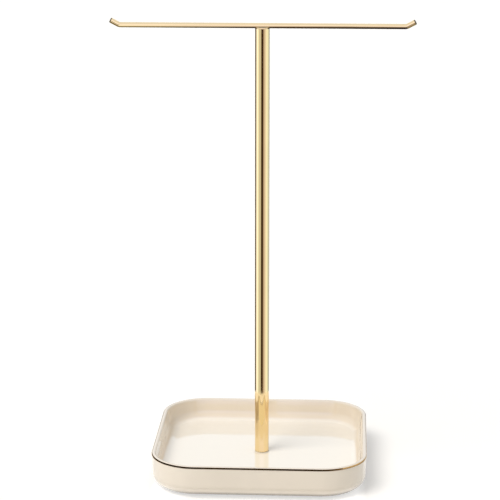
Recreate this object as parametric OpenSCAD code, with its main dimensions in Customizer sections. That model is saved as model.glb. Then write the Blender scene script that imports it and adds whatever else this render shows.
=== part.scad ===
// Jewellery stand: a T-shaped hanging bar on a round post, clamped through the
// middle of a shallow glazed tray with a gilded rim.
// Millimetres. +Z is up, +Y runs to the back, and the origin is on the table
// under the middle of the post.

/* [Tray] */
// Width of the tray across the rim, left to right
tray_w = 150; // [110:1:220]
// Depth of the tray across the rim, front to back
tray_d = 150; // [110:1:220]
// Height of the rim above the table
rim_h = 24; // [23.5:0.5:36]
// Radius of the tray's corners in plan, at the rim
corner_r = 32; // [27:1:45]
// Thickness of the wall at the lip
wall_t = 3; // [2.4:0.1:4]
// Lean of the wall's outside, in degrees from upright
outer_lean = 1.5; // [0:0.5:6]
// Lean of the wall's inside, in degrees from upright
inner_lean = 8; // [4:0.5:12]
// Radius where the outside turns under to the foot ring
base_r = 9.5; // [5:0.5:10]
// Depth of the well, from the rim down to its floor
well_depth = 14.5; // [9:0.5:15]
// Radius of the cove between the inside wall and the floor
cove_r = 7; // [3:0.5:7.5]
// Thickness of the floor
floor_t = 4; // [3:0.5:4.5]
// Width of the unglazed foot ring
foot_w = 9; // [6:0.5:10]
// Diameter of the hole through the floor
tray_hole_d = 6.5; // [6:0.1:8]

/* [Gilding] */
// Thickness that the fired gold line is drawn with
gilt_t = 0.2; // [0.1:0.05:0.4]
// How far up the round of the lip the gold line reaches, in degrees
gilt_rise = 45; // [30:5:85]

/* [Post] */
// Outside diameter of the post
post_d = 10; // [9:0.5:14]
// Wall thickness of the post's tube
post_wall = 1; // [0.6:0.1:1.2]
// Height of the hanging bar's centre line above the table
bar_h = 316; // [200:1:420]
// Length of the plug that closes the post's top
plug_l = 12; // [6:1:25]
// Length of the tapped insert in the post's foot
insert_l = 14; // [12:1:30]

/* [Hanging bar] */
// Diameter of the hanging bar's rod
rod_d = 3.6; // [3:0.1:5]
// Length of the hanging bar from tip to tip
bar_l = 210; // [140:5:320]
// Angle of the upturned tips
tip_angle = 28; // [15:1:60]
// Length of the straight part of each tip
tip_l = 6; // [4:0.5:15]
// Radius of the bend, at the rod's centre line
bend_r = 4; // [3:0.5:12]
// Chamfer on the cut ends of the rod
tip_chamfer = 0.4; // [0.2:0.1:0.8]
// How deep the rod beds into the saddle in the post's top
saddle_depth = 1; // [0.4:0.1:1.4]

/* [Clamping parts] */
// Nominal diameter of the clamping screw
screw_d = 5; // [4:0.5:5.5]
// Length of the screw under its head
screw_l = 16; // [14:1:17]
// Diameter of the screw's head
head_d = 9.5; // [8:0.5:12]
// Height of the screw's head
head_h = 2.8; // [2:0.1:3.4]
// Width of each slot of the head's cross recess
recess_w = 1.3; // [0.8:0.1:1.6]
// Length of each slot of the head's cross recess
recess_l = 4.6; // [3:0.1:6]
// Depth of the head's cross recess
recess_depth = 1.6; // [1:0.1:1.9]
// Outside diameter of the steel washer
washer_d = 15; // [12:0.5:20]
// Thickness of the steel washer
washer_t = 1; // [0.8:0.1:1.6]
// Outside diameter of the rubber washer under the floor
cushion_d = 18; // [15:0.5:24]
// Thickness of the rubber washer under the floor
cushion_t = 1; // [0.8:0.1:1.6]
// Thickness of the thin gasket between the post and the glaze
gasket_t = 0.6; // [0.3:0.1:1.5]

/* [Foot pads] */
// Diameter of each stick-on pad
pad_d = 8; // [5:0.5:8.5]
// Thickness of each stick-on pad
pad_t = 1; // [0.5:0.1:1.5]

/* [Hidden] */
$fn = 96;

glaze = "#EFE6D8";
gold = "#D9B36A";
steel = "#B9BBBD";
rubber = "#4A4A48";
clear_grey = "#E4E2DC";

thread_gap = 0.05;   // radial room between the plain-drawn thread and its hole
washer_gap = 0.2;    // radial room between the screw and what it passes through
tuck = 0.005;        // how far a wall's face lies inside the round it runs into
bury = 0.5;          // how far one piece of the section reaches into the next
braze_gap = 0.02;    // radial room that the braze fills between rod and saddle
bend_thin = 0.01;    // how much less radius the rod has where it is bent
bend_lap = 0.1;      // how far a bend's two ends reach into the straight parts
over = 1;            // how far a cutting tool runs past what it cuts

// Heights.
floor_z = rim_h - well_depth;
slab_z = floor_z - floor_t;
post_z = floor_z + gasket_t;
rod_r = rod_d / 2;
post_top = bar_h - rod_r + saddle_depth;
head_z = slab_z - cushion_t - washer_t;

// Corner axes of the tray's plan. Wall sections are drawn with x measured
// outwards from the rectangle that joins these axes, and y as the height.
corner_x = tray_w / 2 - corner_r;
corner_y = tray_d / 2 - corner_r;

// The wall's section: a round lip, two leaning faces, the cove and the base.
lip_r = wall_t / 2;
lip = [corner_r - lip_r, rim_h - lip_r];

function inward(lean) = [-cos(lean), sin(lean)];
// The point at level z on the leaning line through p.
function at_level(p, lean, z) = [p[0] - (p[1] - z) * tan(lean), z];

outer_top = lip - (lip_r - tuck) * inward(outer_lean);
base_c = at_level(outer_top + (base_r - tuck) * inward(outer_lean), outer_lean,
    pad_t + base_r);
base_top = base_c - (base_r - tuck) * inward(outer_lean);
base_mid = base_c + (base_r - bury) * [cos(45), -sin(45)];
base_foot = [base_c[0], pad_t];

inner_top = lip + (lip_r - tuck) * inward(inner_lean);
inner_foot = at_level(inner_top, inner_lean, floor_z);
cove_c = at_level(inner_top + (cove_r - tuck) * inward(inner_lean), inner_lean,
    floor_z + cove_r);
cove_top = cove_c - (cove_r + bury) * inward(inner_lean);
cove_foot = [cove_c[0], floor_z];

ring_in = base_c[0] - foot_w;
ring_mid = base_c[0] - foot_w / 2;

// What the gold line takes out of the lip.
module gilt_cut() {
    difference() {
        polygon([
            lip, lip - 2 * lip_r * inward(outer_lean),
            lip + 2 * lip_r * [cos(gilt_rise), sin(gilt_rise)]
        ]);
        translate(lip) circle(lip_r - gilt_t);
    }
}

module gilt_section() {
    intersection() {
        gilt_cut();
        translate(lip) circle(lip_r);
    }
}

// The round where the outside turns under to the foot ring.
module base_section() {
    level = base_top[1] + base_r * sin(5);
    intersection() {
        translate(base_c) circle(base_r);
        polygon([
            base_foot + [0, bury], base_foot - [0, over],
            [corner_r + over, pad_t - over], [corner_r + over, level],
            [base_top[0] - 2 * bury, level]
        ]);
    }
}

// The cove, as what is left of a corner block when its round is taken out.
module cove_section() {
    difference() {
        polygon([
            cove_c, cove_foot - [0, 2 * bury],
            inner_foot + [bury, -2 * bury], cove_top
        ]);
        translate(cove_c) circle(cove_r);
    }
}

module wall_section() {
    difference() {
        union() {
            polygon([
                [0, slab_z], [ring_in - 1, slab_z], [ring_in, pad_t],
                base_foot, base_mid, base_top, outer_top, inner_top,
                inner_foot, inner_foot - [0, bury],
                cove_foot - [0, bury], cove_foot, [0, floor_z]
            ]);
            base_section();
            cove_section();
            translate(lip) circle(lip_r);
        }
        gilt_cut();
    }
}

// Carries a section round the tray's plan: four quarter turns and four runs.
module round_the_tray() {
    for (k = [0 : 3]) {
        along = k % 2 == 0 ? [corner_x, corner_y] : [corner_y, corner_x];
        rotate(90 * k) translate([along[0], along[1], 0]) {
            rotate_extrude(angle = 90) children();
            rotate([90, 0, 0]) linear_extrude(2 * along[1]) children();
        }
    }
}

module tray() {
    color(glaze) difference() {
        union() {
            round_the_tray() wall_section();
            translate([-corner_x, -corner_y, slab_z])
                cube([2 * corner_x, 2 * corner_y, floor_t]);
        }
        translate([0, 0, slab_z - over])
            cylinder(d = tray_hole_d, h = floor_t + 2 * over);
    }
}

module rim_gilding() {
    color(gold) round_the_tray() gilt_section();
}

// The groove that the rod lies in, across the post's top.
module saddle_cut() {
    translate([0, 0, bar_h]) rotate([0, 90, 0])
        cylinder(r = rod_r + braze_gap, h = post_d + 2 * over, center = true);
}

module ring(outer_d, inner_d, h) {
    difference() {
        cylinder(d = outer_d, h = h);
        translate([0, 0, -over]) cylinder(d = inner_d, h = h + 2 * over);
    }
}

module post_tube() {
    color(gold) difference() {
        translate([0, 0, post_z])
            ring(post_d, post_d - 2 * post_wall, post_top - post_z);
        saddle_cut();
    }
}

module post_head_plug() {
    color(gold) difference() {
        translate([0, 0, post_top - plug_l])
            cylinder(d = post_d - 2 * post_wall, h = plug_l);
        saddle_cut();
    }
}

module post_foot_insert() {
    color(steel) translate([0, 0, post_z])
        ring(post_d - 2 * post_wall, screw_d + 2 * thread_gap, insert_l);
}

// A straight end of rod with its cut edge chamfered.
module rod_end(l) {
    cylinder(r = rod_r, h = l - tip_chamfer);
    translate([0, 0, l - tip_chamfer])
        cylinder(r1 = rod_r, r2 = rod_r - tip_chamfer, h = tip_chamfer);
}

// Half of the bar: the straight run, the bend, and the upturned tip.
module bar_half() {
    lap_angle = bend_lap / bend_r * 180 / PI;
    tip_reach = bend_r * sin(tip_angle) + tip_l * cos(tip_angle)
        + (rod_r - tip_chamfer) * sin(tip_angle);
    run = bar_l / 2 - tip_reach;
    rotate([0, 90, 0]) cylinder(r = rod_r, h = run);
    translate([run, 0, bend_r]) {
        rotate([90, 0, 0]) rotate(-90 - lap_angle)
            rotate_extrude(angle = tip_angle + 2 * lap_angle)
                translate([bend_r, 0]) circle(rod_r - bend_thin);
        rotate([0, -tip_angle, 0]) translate([0, 0, -bend_r])
            rotate([0, 90, 0]) rod_end(tip_l);
    }
}

module hanging_bar() {
    color(gold) translate([0, 0, bar_h])
        for (side = [0, 1]) mirror([side, 0, 0]) bar_half();
}

module post_gasket() {
    color(clear_grey) translate([0, 0, floor_z])
        ring(post_d, screw_d + 2 * washer_gap, gasket_t);
}

module cushion_washer() {
    color(rubber) translate([0, 0, slab_z - cushion_t])
        ring(cushion_d, screw_d + 2 * washer_gap, cushion_t);
}

module steel_washer() {
    color(steel) translate([0, 0, head_z])
        ring(washer_d, screw_d + 2 * washer_gap, washer_t);
}

// Pan head, its edge rounded by a ball that meets the flat under the crown.
module clamp_screw() {
    crown_r = head_h;
    color(steel) difference() {
        union() {
            translate([0, 0, head_z]) cylinder(d = screw_d, h = screw_l);
            translate([0, 0, head_z]) rotate([180, 0, 0]) {
                cylinder(r = head_d / 2 - crown_r, h = head_h);
                rotate_extrude() translate([head_d / 2 - crown_r, 0])
                    intersection() {
                        circle(crown_r);
                        square(crown_r);
                    }
            }
        }
        for (turn = [0, 90])
            rotate(turn) translate([0, 0, head_z - head_h + recess_depth / 2])
                cube([recess_l, recess_w, recess_depth + 0.02], center = true);
    }
}

module foot_pad(turn) {
    along = turn % 180 == 0 ? [corner_x, corner_y] : [corner_y, corner_x];
    reach = ring_mid * cos(45);
    color(rubber) rotate(turn)
        translate([along[0] + reach, along[1] + reach, 0])
            cylinder(d = pad_d, h = pad_t);
}

tray();
rim_gilding();
post_tube();
post_head_plug();
post_foot_insert();
hanging_bar();
post_gasket();
cushion_washer();
steel_washer();
clamp_screw();
foot_pad(270);  // foot_pad_front_right
foot_pad(0);  // foot_pad_back_right
foot_pad(90);  // foot_pad_back_left
foot_pad(180);  // foot_pad_front_left
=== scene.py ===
"""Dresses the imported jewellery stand: a gold T-bar on a glazed, gilded tray."""

import math
from functools import partial

import bmesh
import bpy
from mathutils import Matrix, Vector


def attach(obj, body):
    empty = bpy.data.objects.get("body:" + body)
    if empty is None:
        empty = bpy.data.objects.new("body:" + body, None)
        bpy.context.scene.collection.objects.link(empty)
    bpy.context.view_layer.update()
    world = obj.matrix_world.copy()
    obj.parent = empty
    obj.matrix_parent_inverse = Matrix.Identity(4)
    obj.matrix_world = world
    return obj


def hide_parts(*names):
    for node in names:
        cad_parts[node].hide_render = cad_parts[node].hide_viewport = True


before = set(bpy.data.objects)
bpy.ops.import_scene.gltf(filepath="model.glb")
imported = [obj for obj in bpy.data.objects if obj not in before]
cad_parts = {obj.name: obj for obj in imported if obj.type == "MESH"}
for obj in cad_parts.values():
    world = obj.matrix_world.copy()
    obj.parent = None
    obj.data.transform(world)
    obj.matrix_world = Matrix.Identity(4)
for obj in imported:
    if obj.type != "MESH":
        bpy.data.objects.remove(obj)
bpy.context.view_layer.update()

bl_info = {
    "name": "Jewellery stand with tray",
    "version": (1, 0, 0),
    "blender": (4, 5, 0),
    "location": "3D View > Sidebar > Jewellery stand",
    "description": "Makes the tray, post, bar and clamp of a jewellery stand",
    "category": "Add Mesh",
}


def srgb(code):
    """The three sRGB values of a hex code, each from 0 to 1."""
    return [int(code[k : k + 2], 16) / 255 for k in (1, 3, 5)]


def length(name, description, default):
    """A size in metres, shown as a distance."""
    return bpy.props.FloatProperty(
        name=name,
        description=description,
        default=default,
        min=0.0,
        unit="LENGTH",
        precision=5,
    )


def angle(name, description, degrees):
    """An angle, written here in degrees."""
    return bpy.props.FloatProperty(
        name=name,
        description=description,
        default=math.radians(degrees),
        unit="ROTATION",
    )


def colour(name, description, code):
    """A colour, written here as sRGB hex."""
    return bpy.props.FloatVectorProperty(
        name=name,
        description=description,
        default=srgb(code),
        subtype="COLOR_GAMMA",
        size=3,
        min=0.0,
        max=1.0,
    )


# ---------------------------------------------------------------- settings


class StandTraySettings(bpy.types.PropertyGroup):
    width: length("Width", "Across the rim, left to right", 0.150)
    depth: length("Depth", "Across the rim, front to back", 0.150)
    rim_height: length("Rim height", "Top of the rim above the table", 0.024)
    corner_radius: length("Corner radius", "In plan, at the rim", 0.032)
    wall: length("Wall", "Thickness at the lip", 0.003)
    outer_lean: angle("Outer lean", "Of the outside from upright", 1.5)
    inner_lean: angle("Inner lean", "Of the inside from upright", 8)
    base_radius: length("Base radius", "Where the outside turns under", 0.0095)
    well_depth: length("Well depth", "From the rim down to the floor", 0.0145)
    cove_radius: length("Cove radius", "Between inside wall and floor", 0.007)
    floor: length("Floor", "Thickness of the floor", 0.004)
    foot_width: length("Foot width", "Width of the bare foot ring", 0.009)
    hole: length("Hole", "Diameter of the hole for the screw", 0.0065)
    glaze: colour("Glaze", "Cream gloss glaze", "#F2E8D9")
    # The colour that the inside of the walls is given, warmer and darker than the
    # glaze.
    inside: colour("Inside glaze", "Where it lies thin, inside the walls", "#EFE1CC")
    # Painted light: a whiter, cooler glaze colour for the level floor, as though lit
    # from above.
    floor_painted_light: colour("Painted light on the floor", "Where it lies thick on the floor", "#F8F3E9")
    clay: colour("Clay", "Fired clay where no glaze is", "#D9CBB6")


class StandGildingSettings(bpy.types.PropertyGroup):
    thickness: length("Thickness", "How deep the gold line is drawn", 0.0002)
    rise: angle("Rise", "How far up the lip's round the line reaches", 45)
    lustre: colour("Lustre", "Fired gold lustre", "#CDA872")


class StandPostSettings(bpy.types.PropertyGroup):
    diameter: length("Diameter", "Outside diameter of the post", 0.010)
    wall: length("Wall", "Wall of the post's tube", 0.001)
    plug: length("Plug", "Length of the plug in the post's top", 0.012)
    saddle: length("Saddle", "How deep the rod beds into the post", 0.001)
    gold: colour("Gold", "Polished gold plate", "#F6DAA4")


class StandBarSettings(bpy.types.PropertyGroup):
    height: length("Height", "Centre line above the table", 0.316)
    rod: length("Rod", "Diameter of the rod", 0.0036)
    span: length("Span", "From tip to tip", 0.210)
    tip_angle: angle("Tip angle", "How far the tips turn up", 28)
    tip: length("Tip", "Straight part of each tip", 0.006)
    bend: length("Bend", "Radius of the bend at the centre line", 0.004)
    chamfer: length("Chamfer", "On the cut ends", 0.0004)
    # Partly painted shade: the cut ends are given a darker colour than their bare metal
    # has.
    cut: colour("Cut end", "Dull metal of the sawn ends", "#5E5947")


class StandClampSettings(bpy.types.PropertyGroup):
    screw: length("Screw", "Nominal diameter", 0.005)
    screw_length: length("Screw length", "Under the head", 0.016)
    pitch: length("Pitch", "Of the screw's thread", 0.0008)
    head: length("Head", "Diameter of the pan head", 0.0095)
    head_height: length("Head height", "Of the pan head", 0.0028)
    recess: length("Recess", "Across the cross recess", 0.0046)
    recess_slot: length("Recess slot", "Width of each slot", 0.0013)
    recess_depth: length("Recess depth", "Of the cross recess", 0.0016)
    washer: length("Washer", "Diameter of the steel washer", 0.015)
    washer_thickness: length("Washer thickness", "Of the steel washer", 0.001)
    cushion: length("Cushion", "Diameter of the rubber washer", 0.018)
    cushion_thickness: length("Cushion thickness", "Of the rubber washer", 0.001)
    gasket_thickness: length("Gasket thickness", "Of the vinyl gasket", 0.0006)
    clearance: length("Clearance", "Round the screw", 0.0002)
    zinc: colour("Zinc", "Bright zinc plate", "#C6C9CB")
    rubber: colour("Rubber", "Moulded black rubber", "#262625")
    vinyl: colour("Vinyl", "Clear soft vinyl", "#F1DFBC")


class StandPadSettings(bpy.types.PropertyGroup):
    diameter: length("Diameter", "Of each stick-on pad", 0.008)
    thickness: length("Thickness", "Of each stick-on pad", 0.001)
    silicone: colour("Silicone", "Frosted silicone", "#DAD8D1")


class StandStageSettings(bpy.types.PropertyGroup):
    table: colour("Table", "Pale floor under the stand", "#F4F3F1")
    lens: bpy.props.FloatProperty(
        name="Lens", description="Focal length in millimetres", default=138.05
    )
    key: bpy.props.FloatProperty(
        name="Key light", description="Strength of the soft key light", default=1.9
    )
    fill: bpy.props.FloatProperty(
        name="Fill", description="Strength of the even light all round", default=0.52
    )


class StandSettings(bpy.types.PropertyGroup):
    tray: bpy.props.PointerProperty(type=StandTraySettings)
    gilding: bpy.props.PointerProperty(type=StandGildingSettings)
    post: bpy.props.PointerProperty(type=StandPostSettings)
    bar: bpy.props.PointerProperty(type=StandBarSettings)
    clamp: bpy.props.PointerProperty(type=StandClampSettings)
    pads: bpy.props.PointerProperty(type=StandPadSettings)
    stage: bpy.props.PointerProperty(type=StandStageSettings)


# --------------------------------------------------------------- materials

# Kinds of node that come often.
MATH, WHOLE = "ShaderNodeMath", "FunctionNodeIntegerMath"
VECTOR, SPREAD, MIX = "ShaderNodeVectorMath", "ShaderNodeMapRange", "ShaderNodeMix"
PARTS, JOINED = "ShaderNodeSeparateXYZ", "ShaderNodeCombineXYZ"
SURFACE, NAMED = "GeometryNodeSetMaterial", "GeometryNodeInputNamedAttribute"


def linear(rgb):
    """Turns an sRGB hex code, or three sRGB values, to a linear colour."""
    rgb = srgb(rgb) if isinstance(rgb, str) else rgb
    bent = [c / 12.92 if c <= 0.04045 else ((c + 0.055) / 1.055) ** 2.4 for c in rgb]
    return [*bent, 1.0]


def shade(rgb, amount):
    """The same sRGB colour, lighter or darker by a share."""
    return [min(1.0, c * amount) for c in rgb]


def add(tree, kind, inputs=(), **settings):
    """Adds one node, with its settings, its values and its links.

    Inputs come in order, or by name or place in a dict. Where one is a node,
    the first output that it has switched on is linked.
    """
    made = tree.nodes.new(kind)
    for name, value in settings.items():
        setattr(made, name, value)
    for key, value in inputs.items() if isinstance(inputs, dict) else enumerate(inputs):
        if isinstance(value, bpy.types.Node):
            value = next(output for output in value.outputs if output.enabled)
        if isinstance(value, bpy.types.NodeSocket):
            tree.links.new(value, made.inputs[key])
        else:
            made.inputs[key].default_value = value
    return made


def noise(tree, size, detail=2.0, stretch=(1, 1, 1), rough=0.5):
    """Noise whose lumps are `size` metres across, on Object coordinates."""
    place = add(tree, "ShaderNodeTexCoord").outputs["Object"]
    scale = [s / size for s in stretch]
    scaled = add(tree, "ShaderNodeMapping", {"Vector": place, "Scale": scale})
    inputs = {"Vector": scaled, "Scale": 1.0, "Detail": detail, "Roughness": rough}
    return add(tree, "ShaderNodeTexNoise", inputs)


def coordinates(tree):
    """A point's X, Y and Z in metres, where Z is its height above the table."""
    place = add(tree, "ShaderNodeTexCoord").outputs["Object"]
    return add(tree, PARTS, [place]).outputs


def height_of(tree):
    """The height above the table, in metres."""
    return coordinates(tree)["Z"]


def levelness(tree):
    """How nearly a face lies level, face up: 1 where it does."""
    face = add(tree, "ShaderNodeNewGeometry").outputs["Normal"]
    return add(tree, PARTS, [face]).outputs["Z"]


def blank_material(name):
    """A new material, and its node tree with nothing in it."""
    material = bpy.data.materials.new(name)
    material.use_nodes = True
    material.node_tree.nodes.clear()
    return material, material.node_tree


def surface(name, base, shades, by, rough, rough_by, relief=(), over=(), constants=()):
    """A material on one Principled shader, with its constants on the sockets.

    A pattern is a function that adds its nodes to a tree and returns what
    carries its value. The base colour goes from one of its shades to the other
    as the pattern in `by` goes between two limits, and the roughness likewise.
    Each colour in `over` lies on top as far as its own patterns say, and each
    pattern in `relief` is a bump of some metres on the one before.
    """
    material, tree = blank_material(name)
    made = {}

    def drawn(pattern):
        if pattern not in made:
            made[pattern] = pattern(tree)
        return made[pattern]

    def between(pattern, *limits):
        return add(tree, SPREAD, [drawn(pattern), *limits])

    body = linear(shade(base, shades[0]))
    for rgb, first, *others in ((shade(base, shades[1]), by), *over):
        factor = between(*first)
        for other in others:
            factor = add(tree, MATH, [factor, between(*other)], operation="MULTIPLY")
        body = add(tree, MIX, {0: factor, 6: body, 7: linear(rgb)}, data_type="RGBA")
    inputs = {"Base Color": body, "Roughness": between(*rough_by, *rough)}
    normal = {}
    for pattern, distance in relief:
        lift = {"Height": drawn(pattern), "Distance": distance, **normal}
        normal = {"Normal": add(tree, "ShaderNodeBump", lift)}
    inputs.update(normal)
    inputs.update(constants)
    shader = add(tree, "ShaderNodeBsdfPrincipled", inputs)
    add(tree, "ShaderNodeOutputMaterial", [shader])
    return material


def gloss_glaze(tray):
    """Cream gloss glaze on stoneware, dipped and fired.

    The eye gets a deep clear gloss over a soft body colour, with a faint slow
    waviness where the melt ran. It is warmer and darker on the inside of the
    walls. Light and shade are painted on: the floor is whiter, the lip a little
    darker, and the base's turn darker towards the table.
    """
    rim, floor = tray.rim_height, tray.rim_height - tray.well_depth
    return surface(
        "Gloss_glaze_on_stoneware",
        tray.glaze,
        shades=(0.985, 1.0),
        by=(partial(noise, size=0.035, detail=3.0), 0.3, 0.7),
        over=(
            # Warmer and darker on the inside of the walls.
            (tray.inside, (levelness, 0.02, 0.12), (height_of, floor - 0.002, floor)),
            # Painted shade: the top 2 mm of the lip is a little darker.
            (shade(tray.glaze, 0.955), (height_of, rim - 0.002, rim)),
            # Painted light: the level floor is whiter and cooler, as though lit from
            # above.
            (
                tray.floor_painted_light,
                (height_of, floor + 0.0006, floor + 0.005, 1.0, 0.0),
                (levelness, 0.75, 0.99),
            ),
            # Painted shade: the turn of the base goes to a darkened clay colour near
            # the table.
            (shade(tray.clay, 0.66), (height_of, 0.0034, 0.0056, 0.95, 0.0)),
        ),
        rough=(0.06, 0.11),
        rough_by=(partial(noise, size=0.012), 0.2, 0.8),
        # The melt's ripples are about 9 mm across, with an orange peel of 1.2 mm.
        relief=(
            (partial(noise, size=0.009, detail=1.0), 0.00006),
            (partial(noise, size=0.0012, detail=1.0), 0.000002),
        ),
        constants={
            "IOR": 1.5,
            "Coat Weight": 1.0,
            "Coat Roughness": 0.02,
            "Coat IOR": 1.5,
        },
    )


def bare_clay(tray):
    """Fired clay of the foot ring, wiped and ground: matt, dry, fine grit."""
    grit = partial(noise, size=0.0004, detail=4.0, rough=0.7)
    return surface(
        "Bare_fired_clay",
        tray.clay,
        shades=(0.86, 1.04),
        by=(grit, 0.35, 0.7),
        rough=(0.78, 0.92),
        rough_by=(grit, 0.2, 0.8),
        relief=[(grit, 0.00005)],
        constants={"IOR": 1.45},
    )


def fired_lustre(gilding):
    """Gold lustre banded on by brush and fired: thin, slightly mottled gold.

    The brush leaves fine streaks along the line, 0.25 mm apart, and the film
    is a little browner where it is thinnest.
    """
    streaks = partial(noise, size=0.00025, stretch=(0.2, 0.2, 1.0))
    return surface(
        "Fired_gold_lustre",
        gilding.lustre,
        shades=(0.9, 1.0),
        by=(partial(noise, size=0.006), 0.3, 0.7),
        rough=(0.10, 0.22),
        rough_by=(streaks, 0.25, 0.75),
        relief=[(streaks, 0.000003)],
        constants={"Metallic": 1.0},
    )


def gold_plate(post, name, along):
    """Bright gold plate on drawn and polished steel.

    Almost a mirror. Drawing leaves hair lines along the metal, 0.12 mm apart
    and very shallow, and handling leaves slow patches of slightly duller gold.
    """
    stretch = [0.01 if axis == along else 1.0 for axis in "XYZ"]
    patches = partial(noise, size=0.02, detail=3.0)
    return surface(
        name,
        post.gold,
        shades=(0.985, 1.0),
        by=(patches, 0.3, 0.7),
        rough=(0.045, 0.075),
        rough_by=(patches, 0.25, 0.75),
        relief=[(partial(noise, size=0.00012, detail=1.0, stretch=stretch), 0.0000006)],
        constants={"Metallic": 1.0, "Coat Weight": 0.15, "Coat Roughness": 0.04},
    )


def sawn_end(bar):
    """The rod's cut end: saw marks 0.3 mm apart under a thin, dull plate. Its dark
    colour is partly painted shade on the end.
    """
    marks = partial(noise, size=0.0003, stretch=(1.0, 0.1, 1.0))
    return surface(
        "Sawn_rod_end",
        bar.cut,
        shades=(0.8, 1.1),
        by=(marks, 0.3, 0.7),
        rough=(0.4, 0.6),
        rough_by=(marks, 0.2, 0.8),
        relief=[(marks, 0.00003)],
        constants={"Metallic": 0.7},
    )


def zinc_plate(clamp):
    """Bright zinc plate: cool silver, with faint cloudy blooms 2 mm across."""
    bloom = partial(noise, size=0.002, detail=3.0)
    return surface(
        "Bright_zinc_plate",
        clamp.zinc,
        shades=(0.9, 1.03),
        by=(bloom, 0.3, 0.7),
        rough=(0.22, 0.36),
        rough_by=(bloom, 0.2, 0.8),
        relief=[(partial(noise, size=0.0004), 0.000008)],
        constants={"Metallic": 1.0},
    )


def moulded_rubber(clamp):
    """Black rubber, moulded: matt and slightly dusty, with a fine grain."""
    grain = partial(noise, size=0.0003, detail=3.0)
    return surface(
        "Moulded_black_rubber",
        clamp.rubber,
        shades=(1.0, 1.8),
        by=(partial(noise, size=0.004, detail=3.0), 0.45, 0.75, 0.0, 0.5),
        rough=(0.62, 0.82),
        rough_by=(grain, 0.2, 0.8),
        relief=[(grain, 0.00003)],
        constants={"IOR": 1.52},
    )


def soft_vinyl(clamp):
    """Clear soft vinyl, die cut: milky and half see-through, satin faces."""
    cloud = partial(noise, size=0.0015)
    return surface(
        "Clear_soft_vinyl",
        clamp.vinyl,
        shades=(0.95, 1.0),
        by=(cloud, 0.0, 1.0),
        rough=(0.3, 0.42),
        rough_by=(cloud, 0.2, 0.8),
        constants={"IOR": 1.53, "Transmission Weight": 0.15},
    )


def frosted_silicone(pads):
    """Frosted silicone pads: soft, cloudy, satin, a little light inside."""
    cloud = partial(noise, size=0.001, detail=3.0)
    return surface(
        "Frosted_silicone",
        pads.silicone,
        shades=(0.94, 1.02),
        by=(cloud, 0.3, 0.7),
        rough=(0.42, 0.58),
        rough_by=(cloud, 0.2, 0.8),
        relief=[(partial(noise, size=0.0002), 0.00001)],
        constants={
            "IOR": 1.41,
            "Subsurface Weight": 0.3,
            "Subsurface Scale": 0.002,
            "Transmission Weight": 0.1,
        },
    )


# ------------------------------------------------------------------ shapes


def arc(centre, radius, start, stop, steps):
    """Points of an arc from one angle to another, both in degrees."""
    points = []
    for k in range(steps + 1):
        turn = math.radians(start + (stop - start) * k / steps)
        points.append(
            (centre[0] + radius * math.cos(turn), centre[1] + radius * math.sin(turn))
        )
    return points


def ring(count):
    """The cosine and sine of each step round a full turn."""
    turns = [2 * math.pi * k / count for k in range(count)]
    return [(math.cos(turn), math.sin(turn)) for turn in turns]


def soften(corners, radius, steps=4, closed=True):
    """A polyline with its corners rounded by one radius."""
    count = len(corners)
    points = []
    for k, here in enumerate(corners):
        if not closed and k in (0, count - 1):
            points.append(tuple(here))
            continue
        here = Vector(here)
        before = Vector(corners[k - 1]) - here
        after = Vector(corners[(k + 1) % count]) - here
        half = before.angle(after) / 2
        # A round takes at most about half of the shorter side.
        reach = min(radius / math.tan(half), before.length / 2.01, after.length / 2.01)
        size = reach * math.tan(half)
        towards = (before.normalized() + after.normalized()).normalized()
        centre = here + towards * (size / math.sin(half))
        first = here + before.normalized() * reach - centre
        last = here + after.normalized() * reach - centre
        turn = math.atan2(first.cross(last), first.dot(last))
        start = math.atan2(first.y, first.x)
        for j in range(steps + 1):
            at = start + turn * j / steps
            points.append(
                (centre.x + size * math.cos(at), centre.y + size * math.sin(at))
            )
    return points


def mesh_object(name, vertices, faces=()):
    """A mesh object in the scene, with its place in its mesh."""
    mesh = bpy.data.meshes.new(name)
    mesh.from_pydata(vertices, [], faces)
    made = bpy.data.objects.new(name, mesh)
    bpy.context.scene.collection.objects.link(made)
    return made


def plain_mesh(name, vertices, faces):
    """A mesh object with its doubles merged and its faces turned outwards."""
    made = mesh_object(name, vertices, faces)
    work = bmesh.new()
    work.from_mesh(made.data)
    bmesh.ops.remove_doubles(work, verts=work.verts, dist=1e-7)
    bmesh.ops.recalc_face_normals(work, faces=work.faces)
    work.to_mesh(made.data)
    work.free()
    return made


def grid_faces(rows, across, loop_rows=False):
    """Faces between rows of vertices, each row a closed ring."""
    faces = []
    for r in range(rows if loop_rows else rows - 1):
        n = (r + 1) % rows
        for c in range(across):
            d = (c + 1) % across
            faces.append(
                (r * across + c, r * across + d, n * across + d, n * across + c)
            )
    return faces


def closed_faces(rows, across):
    """As grid_faces, with one more face over each end."""
    last = (rows - 1) * across
    ends = [tuple(range(across)), tuple(range(last, last + across))]
    return grid_faces(rows, across) + ends


def braced(points, closed):
    """Adds a point near both ends of each long side of a profile.

    Smooth shading then turns only there, and the side mirrors straight.
    """
    reach = 0.0005
    made = []
    for k, here in enumerate(points):
        made.append(here)
        if not closed and k == len(points) - 1:
            break
        here, after = Vector(here), Vector(points[(k + 1) % len(points)])
        step = after - here
        if step.length > 6 * reach:
            step = step.normalized() * reach
            made += [tuple(here + step), tuple(after - step)]
    return made


def turned(name, profile, closed=False, segments=96):
    """A profile of (radius, height) points turned about the post's axis."""
    profile = braced(profile, closed)
    vertices = [(r * x, r * y, z) for r, z in profile for x, y in ring(segments)]
    if closed:
        faces = grid_faces(len(profile), segments, loop_rows=True)
    else:
        faces = closed_faces(len(profile), segments)
    return plain_mesh(name, vertices, faces)


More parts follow.
